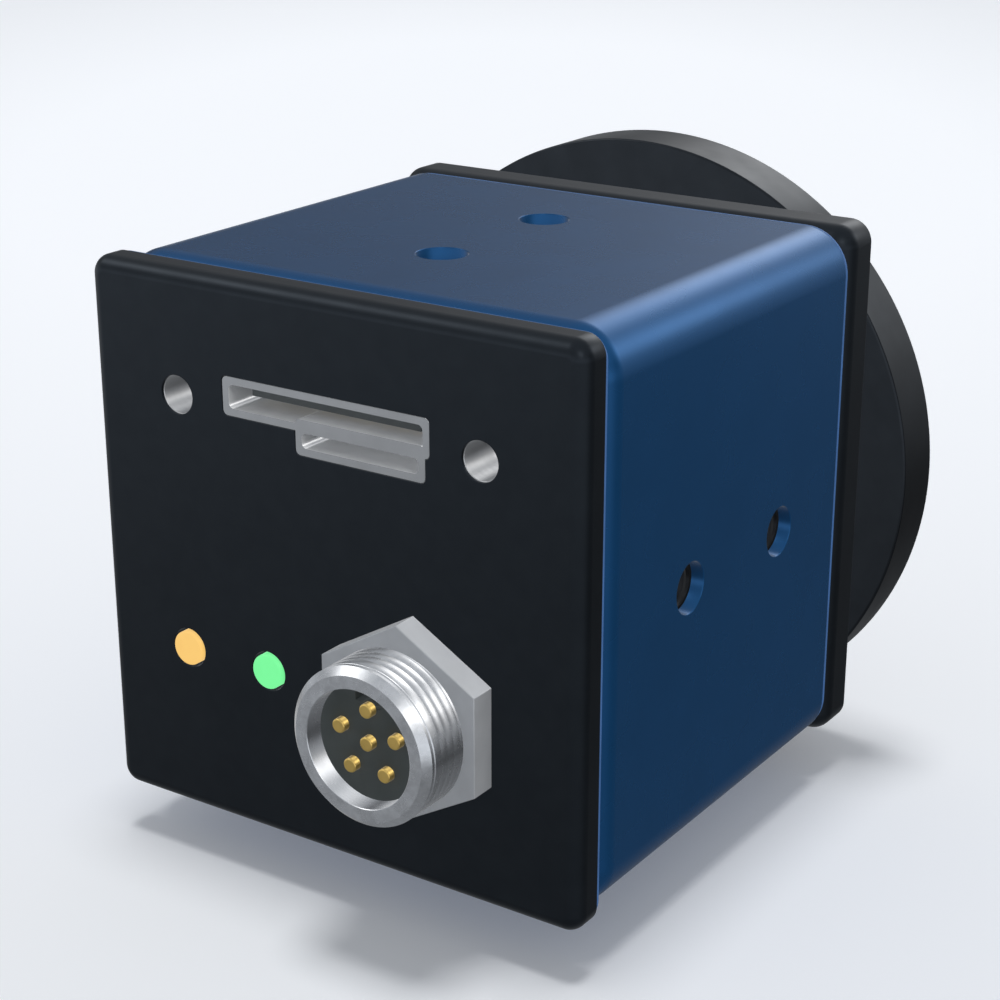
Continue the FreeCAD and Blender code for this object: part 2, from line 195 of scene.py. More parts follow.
def loft(name, levels, nc=14, loop=False, cx=0.0, cz=0.0, origin=(0, 0, 0)):
    """Stack of rounded squares along Y: levels are (half-x, half-z, corner, y).
    With loop the last level joins the first; otherwise both ends are closed."""
    v, f = [], []
    n = 4 * (nc + 1)
    for hx, hz, r, y in levels:
        v += [(x, y, z) for x, z in ring(hx, hz, r, nc, cx, cz)]
    m = len(levels)
    for j in range(m if loop else m - 1):
        a, b = j * n, ((j + 1) % m) * n
        for i in range(n):
            k = (i + 1) % n
            f.append((a + i, a + k, b + k, b + i))
    if not loop:
        f.append(tuple(range(n)))
        f.append(tuple(range((m - 1) * n, m * n))[::-1])
    return raw(name, v, f, origin)


def sq(levels):
    return [(h, h, r, y) for h, r, y in levels]


def ball(half, corner, rad, y, step, up=True, a0=0.0, a1=90.0, seg=14):
    """Levels of a rolling-ball rounding between an end face at y and the sides.
    step is +1 where the body lies at larger y, -1 where it lies at smaller y."""
    out = []
    for i in range(seg + 1):
        a = math.radians(a0 + (a1 - a0) * i / seg)
        ins = rad * (1 - math.sin(a))
        out.append((half - ins, corner - ins, y + step * rad * (1 - math.cos(a))))
    return out if up else out[::-1]


def cylinder(x, z, r, y0, y1, n=96):
    return lathe("tmp", [(0, y0), (r, y0), (r, y1), (0, y1)], x, z, n)


def radial_cylinder(d, y, r, a, b, n=96):
    """Cylinder across Y, along the direction d in the XZ plane, from a to b."""
    v, f = [], []
    for i in range(n):
        t = 2 * math.pi * i / n
        for s in (a, b):
            p = r * math.cos(t)
            q = r * math.sin(t)
            v.append((d[0] * s - d[1] * q, y + p, d[1] * s + d[0] * q))
    for i in range(n):
        k = (i + 1) % n
        f.append((2 * i, 2 * k, 2 * k + 1, 2 * i + 1))
    f.append(tuple(range(0, 2 * n, 2)))
    f.append(tuple(range(1, 2 * n, 2))[::-1])
    return raw("tmp", v, f)


def block(x0, x1, y0, y1, z0, z1):
    v = [(x, y, z) for x in (x0, x1) for y in (y0, y1) for z in (z0, z1)]
    f = [(0, 1, 3, 2), (4, 6, 7, 5), (0, 4, 5, 1), (2, 3, 7, 6), (0, 2, 6, 4), (1, 5, 7, 3)]
    return raw("tmp", v, f)


def boolean(ob, tool, op="DIFFERENCE"):
    m = ob.modifiers.new("b", "BOOLEAN")
    m.operation, m.solver, m.object = op, "EXACT", tool
    flat(ob)
    me = tool.data
    bpy.data.objects.remove(tool)
    bpy.data.meshes.remove(me)


def flat(ob):
    """Puts the object's modifiers into its mesh."""
    dg = bpy.context.evaluated_depsgraph_get()
    me = bpy.data.meshes.new_from_object(ob.evaluated_get(dg))
    old, name = ob.data, ob.data.name
    ob.modifiers.clear()
    ob.data = me
    bpy.data.meshes.remove(old)
    me.name = name


def bevel_where(ob, test, width, seg=2, angle=25.0):
    """Rounds the edges sharper than angle whose two ends pass test(x, y, z) in mm."""
    bm = bmesh.new()
    bm.from_mesh(ob.data)
    bmesh.ops.remove_doubles(bm, verts=bm.verts, dist=1e-7)
    o = ob.location
    es = []
    for e in bm.edges:
        if len(e.link_faces) != 2 or e.calc_face_angle(0.0) < math.radians(angle):
            continue
        if all(test(*[(p.co[i] + o[i]) / MM for i in range(3)]) for p in e.verts):
            es.append(e)
    if es:
        bmesh.ops.bevel(bm, geom=es, offset=width * MM, offset_type="OFFSET", segments=seg,
                        profile=0.5, affect="EDGES", clamp_overlap=False, loop_slide=True)
    bm.to_mesh(ob.data)
    bm.free()


def smooth(ob, angle=32.0, weighted=True):
    me = ob.data
    me.polygons.foreach_set("use_smooth", [True] * len(me.polygons))
    me.set_sharp_from_angle(angle=math.radians(angle))
    if weighted:
        w = ob.modifiers.new("wn", "WEIGHTED_NORMAL")
        w.mode, w.weight, w.keep_sharp = "FACE_AREA_WITH_ANGLE", 60, True


def dress(ob, mat, body="camera", stands=()):
    ob.data.materials.clear()
    ob.data.materials.append(mat)
    for p in ob.data.polygons:
        p.material_index = 0
    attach(ob, body)
    if stands:
        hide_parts(*stands)
    return ob


def join(name, obs):
    """One object from several with the same location."""
    bm = bmesh.new()
    for o in obs:
        me = o.data.copy()
        me.transform(Matrix.Translation(o.location))
        bm.from_mesh(me)
        bpy.data.meshes.remove(me)
    me = bpy.data.meshes.new(name)
    bm.to_mesh(me)
    bm.free()
    for o in obs:
        d = o.data
        bpy.data.objects.remove(o)
        bpy.data.meshes.remove(d)
    return link(name, me)


# ---------------------------------------------------------------------------
# Materials
# ---------------------------------------------------------------------------
class Mat:
    """Small builder for a Principled material with object coordinates."""

    def __init__(self, name, base, rough=0.5, metal=0.0, spec=0.5, **sockets):
        self.m = bpy.data.materials.new(name)
        self.m.use_nodes = True
        self.t = self.m.node_tree
        self.t.nodes.clear()
        self.out = self.t.nodes.new("ShaderNodeOutputMaterial")
        self.b = self.t.nodes.new("ShaderNodeBsdfPrincipled")
        self.t.links.new(self.b.outputs[0], self.out.inputs[0])
        self.set("Base Color", base)
        self.set("Roughness", rough)
        self.set("Metallic", metal)
        self.set("Specular IOR Level", spec)
        for k, v in sockets.items():
            self.set(k.replace("_", " "), v)
        self.co = None
        self.normal = None

    def set(self, k, v):
        s = self.b.inputs[k]
        if isinstance(v, (tuple, list)) and len(v) == 3 and len(s.default_value) == 4:
            v = (*v, 1.0)
        s.default_value = v

    def node(self, kind, **props):
        n = self.t.nodes.new(kind)
        for k, v in props.items():
            setattr(n, k, v)
        return n

    def link(self, a, b):
        self.t.links.new(a, b)

    def coords(self, scale=(1, 1, 1)):
        if self.co is None:
            self.co = self.node("ShaderNodeTexCoord").outputs["Object"]
        if tuple(scale) == (1, 1, 1):
            return self.co
        mp = self.node("ShaderNodeMapping")
        mp.inputs["Scale"].default_value = scale
        self.link(self.co, mp.inputs["Vector"])
        return mp.outputs[0]

    def noise(self, scale, detail=3.0, rough=0.55, stretch=(1, 1, 1), distort=0.0):
        n = self.node("ShaderNodeTexNoise")
        n.inputs["Scale"].default_value = scale
        n.inputs["Detail"].default_value = detail
        n.inputs["Roughness"].default_value = rough
        n.inputs["Distortion"].default_value = distort
        self.link(self.coords(stretch), n.inputs["Vector"])
        return n.outputs["Fac"]

    def ramp(self, fac, stops):
        r = self.node("ShaderNodeValToRGB")
        el = r.color_ramp.elements
        while len(el) < len(stops):
            el.new(0.5)
        for e, (p, c) in zip(el, stops):
            e.position = p
            e.color = (*c, 1.0) if len(c) == 3 else c
        self.link(fac, r.inputs["Fac"])
        return r.outputs["Color"]

    def span(self, fac, lo, hi, a=0.3, b=0.7):
        r = self.node("ShaderNodeMapRange")
        r.inputs["From Min"].default_value = a
        r.inputs["From Max"].default_value = b
        r.inputs["To Min"].default_value = lo
        r.inputs["To Max"].default_value = hi
        self.link(fac, r.inputs["Value"])
        return r.outputs["Result"]

    def colour(self, fac, stops):
        self.link(self.ramp(fac, stops), self.b.inputs["Base Color"])
        return self

    def roughness(self, fac, lo, hi, a=0.3, b=0.7):
        self.link(self.span(fac, lo, hi, a, b), self.b.inputs["Roughness"])
        return self

    def bump(self, height, strength, dist_mm):
        n = self.node("ShaderNodeBump")
        n.inputs["Strength"].default_value = strength
        n.inputs["Distance"].default_value = dist_mm * MM
        self.link(height, n.inputs["Height"])
        if self.normal is not None:
            self.link(self.normal, n.inputs["Normal"])
        self.normal = n.outputs["Normal"]
        self.link(self.normal, self.b.inputs["Normal"])
        return self

    def bands(self, per_mm, direction="Y", rings=False, distort=0.6, detail=2.0):
        n = self.node("ShaderNodeTexWave")
        n.wave_type = "RINGS" if rings else "BANDS"
        if rings:
            n.rings_direction = direction
        else:
            n.bands_direction = direction
        n.inputs["Scale"].default_value = per_mm * 1000 / 20.0 * 2 * math.pi / 2 / math.pi * 2
        n.inputs["Distortion"].default_value = distort
        n.inputs["Detail"].default_value = detail
        n.inputs["Detail Scale"].default_value = 2.0
        self.link(self.coords(), n.inputs["Vector"])
        return n.outputs["Fac"]

    def edge(self, lo, hi):
        """Pointiness, for wear along edges: 0 on flats, 1 on sharp convex edges."""
        g = self.node("ShaderNodeNewGeometry")
        return self.span(g.outputs["Pointiness"], 0.0, 1.0, lo, hi)


def lin(*rgb):
    return tuple(((c / 255) / 12.92 if c / 255 <= 0.04045 else ((c / 255 + 0.055) / 1.055) ** 2.4) for c in rgb)


def black_anodised(name="black_anodised"):
    k = Mat(name, (0.019, 0.024, 0.030), 0.32, 0.8, 0.5)
    k.colour(k.noise(900, 2), [(0.3, (0.0178, 0.0225, 0.0284)), (0.7, (0.0202, 0.0255, 0.0316))])
    k.roughness(k.noise(260, 3), 0.29, 0.35)
    k.bump(k.noise(5200, 2, 0.6), 0.08, 0.003)
    return k.m


def blue_anodised():
    k = Mat("blue_anodised", (0.008, 0.085, 0.235), 0.27, 0.62, 0.5)
    k.colour(k.noise(320, 3), [(0.3, (0.0076, 0.0830, 0.2290)), (0.7, (0.0084, 0.0870, 0.2410))])
    k.roughness(k.noise(240, 3), 0.25, 0.29)
    k.bump(k.noise(4200, 2, 0.6, (1, 0.35, 1)), 0.05, 0.002)
    return k.m


def turned_metal(name, base, rough=0.22, per_mm=14, strength=0.12, metal=1.0):
    k = Mat(name, base, rough, metal, 0.5)
    d = tuple(c * 0.9 for c in base)
    k.colour(k.noise(420, 3), [(0.3, d), (0.7, base)])
    k.roughness(k.noise(900, 2), rough - 0.04, rough + 0.06)
    k.bump(k.bands(per_mm, "Y"), strength, 0.003)
    k.bump(k.bands(per_mm, "Y", True), strength, 0.003)
    return k.m


def streaked_metal(name, base, rough):
    """Plated round stock: fine streaks along the axis over faint turning marks."""
    k = Mat(name, base, rough, 1.0, 0.5)
    d = tuple(c * 0.88 for c in base)
    k.colour(k.noise(2600, 2, 0.6, (1, 0.05, 1)), [(0.35, d), (0.65, base)])
    k.roughness(k.noise(900, 2), rough - 0.04, rough + 0.06)
    k.bump(k.noise(1500, 2, 0.6, (1, 0.04, 1)), 0.30, 0.008)
    k.bump(k.bands(16, "Y"), 0.06, 0.003)
    return k.m


def matte_metal(name, base, rough=0.5, grain=2600, metal=1.0, strength=0.15):
    k = Mat(name, base, rough, metal, 0.5)
    d = tuple(c * 0.9 for c in base)
    k.colour(k.noise(500, 3), [(0.3, d), (0.7, base)])
    k.roughness(k.noise(700, 2), rough - 0.05, rough + 0.05)
    k.bump(k.noise(grain, 3, 0.6), strength, 0.006)
    return k.m


def plastic(name, base, rough=0.45, spec=0.4, grain=3000, depth=0.006, strength=0.15, vary=0.12):
    k = Mat(name, base, rough, 0.0, spec)
    k.colour(k.noise(300, 3), [(0.3, tuple(c * (1 - vary) for c in base)), (0.7, tuple(c * (1 + vary) for c in base))])
    k.roughness(k.noise(500, 2), rough - 0.05, rough + 0.05)
    k.bump(k.noise(grain, 3, 0.6), strength, depth)
    return k.m


def lamp(name, core, edge, glow, strength):
    k = Mat(name, core, 0.30, 0.0, 0.5)
    n = k.noise(700, 3)
    k.colour(n, [(0.3, core), (0.7, edge)])
    k.link(k.ramp(n, [(0.25, glow), (0.75, tuple(min(1.0, c * 1.06) for c in glow))]), k.b.inputs["Emission Color"])
    k.set("Emission Strength", strength)
    k.bump(k.noise(1800, 2), 0.06, 0.01)
    return k.m


def satin(name, base, rough):
    """Dark satin skin whose sheen comes up at grazing angles."""
    k = Mat(name, base, rough, 1.0, 0.5)
    k.colour(k.noise(700, 3), [(0.3, tuple(c * 0.93 for c in base)), (0.7, tuple(c * 1.07 for c in base))])
    k.roughness(k.noise(400, 2), rough - 0.03, rough + 0.04)
    k.bump(k.noise(3600, 3, 0.6), 0.10, 0.004)
    return k.m


def glass(name, tint, rough=0.02, film=0.0):
    k = Mat(name, tint, rough, 0.0, 0.5, IOR=1.5)
    k.set("Transmission Weight", 1.0)
    k.roughness(k.noise(160, 2), rough, rough + 0.02)
    if film:
        k.set("Thin Film Thickness", film)
        k.set("Thin Film IOR", 1.9)
    return k.m


def board(name):
    k = Mat(name, (0.010, 0.075, 0.030), 0.38, 0.0, 0.5)
    v = k.node("ShaderNodeTexBrick")
    v.offset = 0.37
    v.inputs["Scale"].default_value = 620
    v.inputs["Mortar Size"].default_value = 0.06
    v.inputs["Mortar Smooth"].default_value = 0.1
    v.inputs["Color1"].default_value = (0.008, 0.062, 0.026, 1)
    v.inputs["Color2"].default_value = (0.010, 0.070, 0.030, 1)
    v.inputs["Mortar"].default_value = (0.020, 0.130, 0.055, 1)
    mp = k.node("ShaderNodeMapping")
    mp.inputs["Rotation"].default_value = (math.radians(90), 0, 0)
    k.link(k.coords(), mp.inputs["Vector"])
    k.link(mp.outputs[0], v.inputs["Vector"])
    k.link(v.outputs["Color"], k.b.inputs["Base Color"])
    k.roughness(k.noise(600, 2), 0.30, 0.42)
    k.bump(v.outputs["Fac"], 0.4, 0.02)
    k.bump(k.noise(3000, 2), 0.08, 0.006)
    return k.m


def silicon():
    k = Mat("silicon_die", (0.06, 0.065, 0.09), 0.12, 0.6, 0.5)
    v = k.node("ShaderNodeTexBrick")
    v.offset = 0.0
    v.inputs["Scale"].default_value = 5000
    v.inputs["Mortar Size"].default_value = 0.05
    v.inputs["Color1"].default_value = (0.055, 0.050, 0.085, 1)
    v.inputs["Color2"].default_value = (0.050, 0.065, 0.080, 1)
    v.inputs["Mortar"].default_value = (0.11, 0.12, 0.13, 1)
    mp = k.node("ShaderNodeMapping")
    mp.inputs["Rotation"].default_value = (math.radians(90), 0, 0)
    k.link(k.coords(), mp.inputs["Vector"])
    k.link(mp.outputs[0], v.inputs["Vector"])
    k.link(v.outputs["Color"], k.b.inputs["Base Color"])
    k.set("Thin Film Thickness", 420.0)
    k.set("Thin Film IOR", 1.6)
    k.roughness(k.noise(900, 2), 0.10, 0.18)
    return k.m


M = {
    "black": black_anodised(),
    "blue": blue_anodised(),
    "frame": matte_metal("black_frame", (0.020, 0.021, 0.023), 0.45),
    "silicone": plastic("pale_silicone", lin(70, 110, 165), 0.5, 0.4),
    "ring": turned_metal("lens_ring_metal", (0.52, 0.53, 0.55), 0.26, 10),
    "cap": satin("cap_plastic", (0.031, 0.035, 0.040), 0.32),
    "screw": matte_metal("screw_black", (0.035, 0.036, 0.038), 0.38),
    "steel": turned_metal("steel", (0.60, 0.60, 0.60), 0.28, 12),
    "filter": glass("filter_glass", (0.80, 0.97, 0.93), 0.01, 380.0),
    "ceramic": plastic("sensor_ceramic", (0.11, 0.105, 0.10), 0.6),
    "silicon": silicon(),
    "window": glass("window_glass", (0.97, 0.99, 1.0), 0.01),
    "rubber": plastic("black_rubber", (0.012, 0.012, 0.013), 0.7, 0.3),
    "board": board("board_green"),
    "chip": plastic("chip_black", (0.016, 0.016, 0.018), 0.5),
    "pad": plastic("thermal_grey", (0.30, 0.32, 0.35), 0.8, 0.2),
    "bare": matte_metal("bare_aluminium", (0.72, 0.73, 0.75), 0.42),
    "cream": plastic("connector_cream", (0.60, 0.54, 0.42), 0.5),
    "usb": matte_metal("usb_metal", (0.52, 0.525, 0.53), 0.22, 2600, 0.6, 0.04),
    # A lighter, less metallic copy of the USB metal for the inner walls and floors: painted light against the shade
    # inside the openings.
    "usb_in": matte_metal("usb_metal_inside_painted_light", (0.92, 0.92, 0.92), 0.15, 2600, 0.35, 0.03),
    "insul": plastic("dark_insulator", (0.084, 0.096, 0.092), 0.5, 0.3),
    "tongue": plastic("usb_insulator_plastic", (0.125, 0.137, 0.137), 0.5, 0.3),
    "gold": turned_metal("gold", (0.90, 0.61, 0.18), 0.30, 30, 0.06),
    "nickel": streaked_metal("nickel", (0.76, 0.765, 0.775), 0.26),
    "hex": matte_metal("nickel_matte", (0.63, 0.64, 0.655), 0.36, 2600, 0.5),
    "insert": turned_metal("insert_metal", (0.56, 0.56, 0.56), 0.36, 18, 0.08, 0.75),
    "bore": turned_metal("nickel_bore", (0.74, 0.745, 0.755), 0.26, 16, 0.08),
    "amber": lamp("amber_lens", (0.27, 0.155, 0.040), (0.30, 0.175, 0.050), lin(251, 202, 114), 0.84),
    "green": lamp("green_lens", (0.055, 0.27, 0.095), (0.065, 0.30, 0.11), lin(122, 251, 156), 0.84),
    "led": plastic("led_white", (0.75, 0.75, 0.72), 0.4),
}

# ---------------------------------------------------------------------------
# Body sleeve
# ---------------------------------------------------------------------------
Y0, Y1 = yy(1.92), yy(25.60)
lv = [(13.0, 1.95, yy(4.75)), (13.0, 1.95, Y0)]
lv += ball(H, 2.45, 1.30, Y0, 1, seg=18)
lv += ball(H, 2.45, 0.14, Y1, -1, up=False, seg=5)
lv += [(13.8, 1.75, Y1), (13.8, 1.75, yy(4.75))]
sleeve = loft("sleeve", sq(lv), 20, True)
for yh in (9.85, 19.10):
    for d in ((1, 0), (-1, 0), (0, 1), (0, -1)):
        boolean(sleeve, radial_cylinder(d, yy(yh), 1.32, 12.5, 15.5, 96))


def at_m3(x, y, z):
    for yh in (yy(9.85), yy(19.10)):
        for u, w in ((x, z), (z, x)):
            if abs(abs(w) - H) < 1e-3 and abs(math.hypot(u, y - yh) - 1.32) < 5e-3:
                return True
    return False


bevel_where(sleeve, at_m3, 0.05, 3)
smooth(sleeve, 34)
dress(sleeve, M["blue"], "camera", ["body_sleeve"])

# Threads in the eight screw holes, below the sleeve.
liners = []
for yh, inner in ((9.85, 11.26), (19.10, 11.26)):
    for d in ((1, 0), (-1, 0), (0, 1), (0, -1)):
        o = threaded("tmp", [(1.318, 0.0)], [(1.318, 2.42)], 1.27, -0.0, 0.02, 2.40, 0.5)
        bpy.data.objects.remove(o)
        o = threaded("tmp", [(1.319, 2.44), (1.319, 0.0)], [], 1.19, -0.12, 0.0, 2.44, 0.5, 0.12, 0.12, n=48, fade=0.2)
        o.data.transform(Matrix.Rotation(math.radians(90), 4, "X") if d[1] else Matrix.Rotation(math.radians(-90), 4, "Z"))
        lo = [min(v.co[i] for v in o.data.vertices) for i in range(3)]
        hi = [max(v.co[i] for v in o.data.vertices) for i in range(3)]
        c = [(a + b) / 2 for a, b in zip(lo, hi)]
        mid = 12.54 * MM
        t = Vector((d[0] * mid - c[0], yy(yh) * MM - c[1], d[1] * mid - c[2]))
        o.data.transform(Matrix.Translation(t))
        liners.append(o)
liner = join("hole_threads", liners)
smooth(liner, 30, False)
dress(liner, M["frame"], "camera")

# ---------------------------------------------------------------------------
# Rear cover
# ---------------------------------------------------------------------------
lv = ball(H, 1.0, 0.80, yy(0.0), 1, seg=14)
lv += ball(H, 1.0, 0.06, yy(1.70), -1, up=False, seg=3)
rear = loft("rear_plate", sq(lv), 12)
lip = loft("tmp", sq([(12.95, 1.9, yy(1.6)), (12.95, 1.9, yy(4.38)), (12.83, 1.78, yy(4.50)),
                      (11.72, 1.32, yy(4.50)), (11.60, 1.2, yy(4.38)), (11.60, 1.2, yy(1.6))]), 10, True)
boolean(rear, lip, "UNION")
for sx in (-1, 1):
    for sz in (-1, 1):
        boolean(rear, loft("tmp", [(1.70, 1.70, 0.5, yy(1.55)), (1.70, 1.70, 0.5, yy(4.50))], 6,
                           cx=sx * 11.25, cz=sz * 11.25), "UNION")
for s in (-1, 1):
    boolean(rear, cylinder(s * 9.0, 8.17, 2.15, yy(1.55), yy(3.80)), "UNION")
for sx in (-1, 1):
    for sz in (-1, 1):
        boolean(rear, cylinder(sx * 11.5, sz * 11.5, 1.0, yy(1.05), yy(5.0), 64))
for s in (-1, 1):
    boolean(rear, cylinder(s * 9.0, 8.17, 0.995, yy(-1.0), yy(1.0), 96))
    boolean(rear, cylinder(s * 9.0, 8.17, 1.39, yy(0.16), yy(4.0), 96))
G = 0.03
boolean(rear, loft("tmp", [((6.20 + 6.05) / 2 + G, (9.65 - 7.70) / 2 + G, 0.28, yy(-1)),
                           ((6.20 + 6.05) / 2 + G, (9.65 - 7.70) / 2 + G, 0.28, yy(5))], 8,
                   cx=(6.20 - 6.05) / 2, cz=(9.65 + 7.70) / 2))
boolean(rear, loft("tmp", [((5.95 + 1.60) / 2 + G, (7.95 - 6.50) / 2 + G, 0.28, yy(-1)),
                           ((5.95 + 1.60) / 2 + G, (7.95 - 6.50) / 2 + G, 0.28, yy(5))], 8,
                   cx=(5.95 - 1.60) / 2, cz=(7.95 + 6.50) / 2))
boolean(rear, cylinder(5.20, -5.30, 3.55, yy(-1), yy(5), 128))
for x in (-9.03, -3.82):
    boolean(rear, cylinder(x, -5.33, 1.04, yy(-1), yy(5), 96))
bevel_where(rear, lambda x, y, z: abs(y - yy(0.0)) < 2e-3 and abs(x) < 13.2 and abs(z) < 13.2, 0.03, 2)
smooth(rear, 34)
dress(rear, M["black"], "camera", ["rear_cover"])

# ---------------------------------------------------------------------------
# Front cover
# ---------------------------------------------------------------------------
a_in = math.degrees(math.asin(1 - 0.80 / 1.15))
lv = [(13.60, 1.60, yy(24.60)), (13.70, 1.70, yy(24.70)), (13.70, 1.70, yy(25.80))]
lv += ball(H, 1.20, 1.15, yy(25.80), 1, a0=a_in, seg=16)
lv += ball(H, 1.20, 0.16, yy(28.55), -1, up=False, seg=5)
front = loft("front_plate", sq(lv), 14)
boolean(front, cylinder(0, 0, 12.20, yy(20), yy(30), 256))
boolean(front, cylinder(0, 0, 14.02, yy(27.20), yy(30), 256))
for sx in (-1, 1):
    for sz in (-1, 1):
        c = lathe("tmp", [(0, yy(20)), (1.05, yy(20)), (1.05, yy(27.75)), (1.85, yy(28.55)), (1.95, yy(28.65)),
                          (0, yy(28.65))], sx * 11.5, sz * 11.5, 96)
        boolean(front, c)
bevel_where(front, lambda x, y, z: abs(y - yy(28.55)) < 2e-3 and abs(x) < 13.9 and abs(z) < 13.9, 0.03, 2)
smooth(front, 34)
dress(front, M["black"], "camera", ["front_cover"])

# ---------------------------------------------------------------------------
# Lens mount ring with its 1 inch, 32 turns-per-inch thread
# ---------------------------------------------------------------------------
mount = threaded("mount_ring",
                 [(14.0, yy(27.25)), (13.96, yy(27.21)), (12.76, yy(27.21))],
                 [(12.90, 0.0), (13.78, 0.0), (13.86, -0.012), (13.93, -0.05), (13.985, -0.12), (14.0, -0.22)],
                 12.70, 0.34, yy(27.26), -0.16, 0.794, 0.12, 0.14, n=224, fade=0.3)
smooth(mount, 28, False)
dress(mount, M["ring"], "camera", ["lens_mount_ring"])

# ---------------------------------------------------------------------------
# Dust cap
# ---------------------------------------------------------------------------
def arc(cx, cy, r, a0, a1, seg):
    return [(cx + r * math.cos(math.radians(a0 + (a1 - a0) * i / seg)),
             cy + r * math.sin(math.radians(a0 + (a1 - a0) * i / seg))) for i in range(seg + 1)]


y28, y32 = yy(28.60), yy(32.30)
prof = [(0, yy(31.30)), (13.80, yy(31.30))]
prof += arc(13.80, yy(31.05), 0.25, 90, 0, 5)
prof += [(14.05, y28 + 0.30)]
prof += arc(14.35, y28 + 0.30, 0.30, 180, 270, 6)
prof += [(15.2, y28)]
prof += arc(17.2 - 0.14, y28 + 0.14, 0.14, 270, 360, 5)
prof += arc(17.2 - 0.45, y32 - 0.45, 0.45, 0, 90, 8)
prof += arc(14.95, y32 - 0.2, 0.2, 90, 150, 4)
prof += arc(14.20, y32 - 0.10, 0.25, -30, -90, 4)
prof += [(9.0, y32 - 0.35), (8.9, y32 - 0.33), (8.7, y32 - 0.33), (8.6, y32 - 0.35), (0, y32 - 0.35)]
cap = lathe("cap_disc", prof, n=256)
smooth(cap, 30)
dress(cap, M["cap"], "cap", ["dust_cap"])

# ---------------------------------------------------------------------------
# Round connector
# ---------------------------------------------------------------------------
IX, IZ = 5.20, -5.30
before = [(3.80, -1.60), (3.80, -0.5), (3.50, -0.5), (3.50, 4.60), (3.30, 4.80), (2.60, 4.80), (2.60, -1.0),
          (2.97, -1.0)]
before = [(r, (y if y < 0 else y)) for r, y in before]
# depths here are already from the rear face; shift to the frame
sh = [(r, yy(y)) for r, y in before]
sh += [(2.97, yy(-4.47)), (3.00, yy(-4.50)), (3.63, yy(-4.50)), (4.0, yy(-4.13))]
sh += [(4.0, yy(-3.96)), (3.93, yy(-3.95)), (3.93, yy(-3.90)), (3.98, yy(-3.88))]
conn = threaded("io_shell", sh, [(4.0, yy(-1.70))], 4.00, 0.014, yy(-3.86), yy(-1.76), 0.5, 0.84, 0.02,
                IX, IZ, n=192, fade=0.25)
smooth(conn, 30, False)
dress(conn, M["nickel"], "camera", ["io_connector_shell"])
conn.data.materials.append(M["bore"])
for p in conn.data.polygons:
    c = p.center
    if math.hypot(c.x, c.z) < 2.99 * MM:
        p.material_index = 1

hr = 8.88 / math.sqrt(3.0)
hv, hf = [], []
for y in (yy(-1.45), yy(-0.01)):
    for i in range(6):
        a = math.radians(90 + 60 * i)
        hv.append((IX + hr * math.cos(a), y, IZ + hr * math.sin(a)))
hf = [(0, 1, 2, 3, 4, 5), (11, 10, 9, 8, 7, 6)] + [(i, i + 6, (i + 1) % 6 + 6, (i + 1) % 6) for i in range(6)]
hexn = raw("io_hex", hv, hf, (IX, 0, IZ))
boolean(hexn, cylinder(IX, IZ, 3.81, yy(-3), yy(1), 128))
boolean(hexn, cylinder(IX, IZ, 4.25, yy(-0.32), yy(1), 128))
bevel_where(hexn, lambda x, y, z: math.hypot(x - IX, z - IZ) > 4.3, 0.05, 3)
smooth(hexn, 34)
dress(hexn, M["hex"], "camera", ["io_connector_shell"])

pins = []
for x, z in [(0.0, 0.0)] + [(1.68 * math.cos(math.radians(90 + 72 * i)), 1.68 * math.sin(math.radians(90 + 72 * i)))
                            for i in range(5)]:
    p = [(0, yy(-3.86)), (0.26, yy(-3.86))]
    p += [(q[0], yy(q[1])) for q in arc(0.30, -3.80, 0.06, 270, 360, 4)]
    p += [(0.36, yy(5.10)), (0.30, yy(5.20)), (0.30, yy(6.95)), (0, yy(6.95))]
    pins.append(lathe("tmp", p, IX + x, IZ + z, 48))
pins = join("io_pins", pins)
smooth(pins, 40)
dress(pins, M["gold"], "camera", ["io_connector_pins"])

# ---------------------------------------------------------------------------
# Light pipes
# ---------------------------------------------------------------------------
for nm, x, m, s in (("pipe_amber", -9.03, "amber", "light_pipe_amber"), ("pipe_green", -3.82, "green", "light_pipe_green")):
    p = [(0, yy(-0.15)), (0.50, yy(-0.148)), (0.80, yy(-0.14))]
    p += [(q[0], yy(q[1])) for q in arc(0.845, -0.08, 0.06, 285, 360, 6)]
    p += [(0.905, yy(1.72)), (1.45, yy(1.72)), (1.45, yy(2.40)), (0.905, yy(2.40)), (0.905, yy(4.60)), (0, yy(4.60))]
    o = lathe(nm, p, x, -5.33, 96)
    smooth(o, 34)
    dress(o, M[m], "camera", [s])

# ---------------------------------------------------------------------------
# Jackscrew inserts
# ---------------------------------------------------------------------------
ins = []
for s in (-1, 1):
    o = threaded("tmp", [(0, yy(3.45)), (0, yy(3.95)), (1.38, yy(3.95)), (1.38, yy(0.17)), (1.03, yy(0.17))],
                 [(0.985, yy(3.44))], 0.985, -0.002, yy(0.22), yy(3.30), 0.4, 0.3, 0.3, s * 9.0, 8.17, n=96)
    ins.append(o)
ins = join("jack_inserts", ins)
smooth(ins, 40, False)
dress(ins, M["insert"], "camera", ["jackscrew_inserts"])

# ---------------------------------------------------------------------------
# USB receptacle shell
# ---------------------------------------------------------------------------
def bar(t, y0, y1, r, nc=6):
    return loft("tmp", [((t[1] - t[0]) / 2, (t[3] - t[2]) / 2, r, y0), ((t[1] - t[0]) / 2, (t[3] - t[2]) / 2, r, y1)],
                nc, cx=(t[0] + t[1]) / 2, cz=(t[2] + t[3]) / 2)


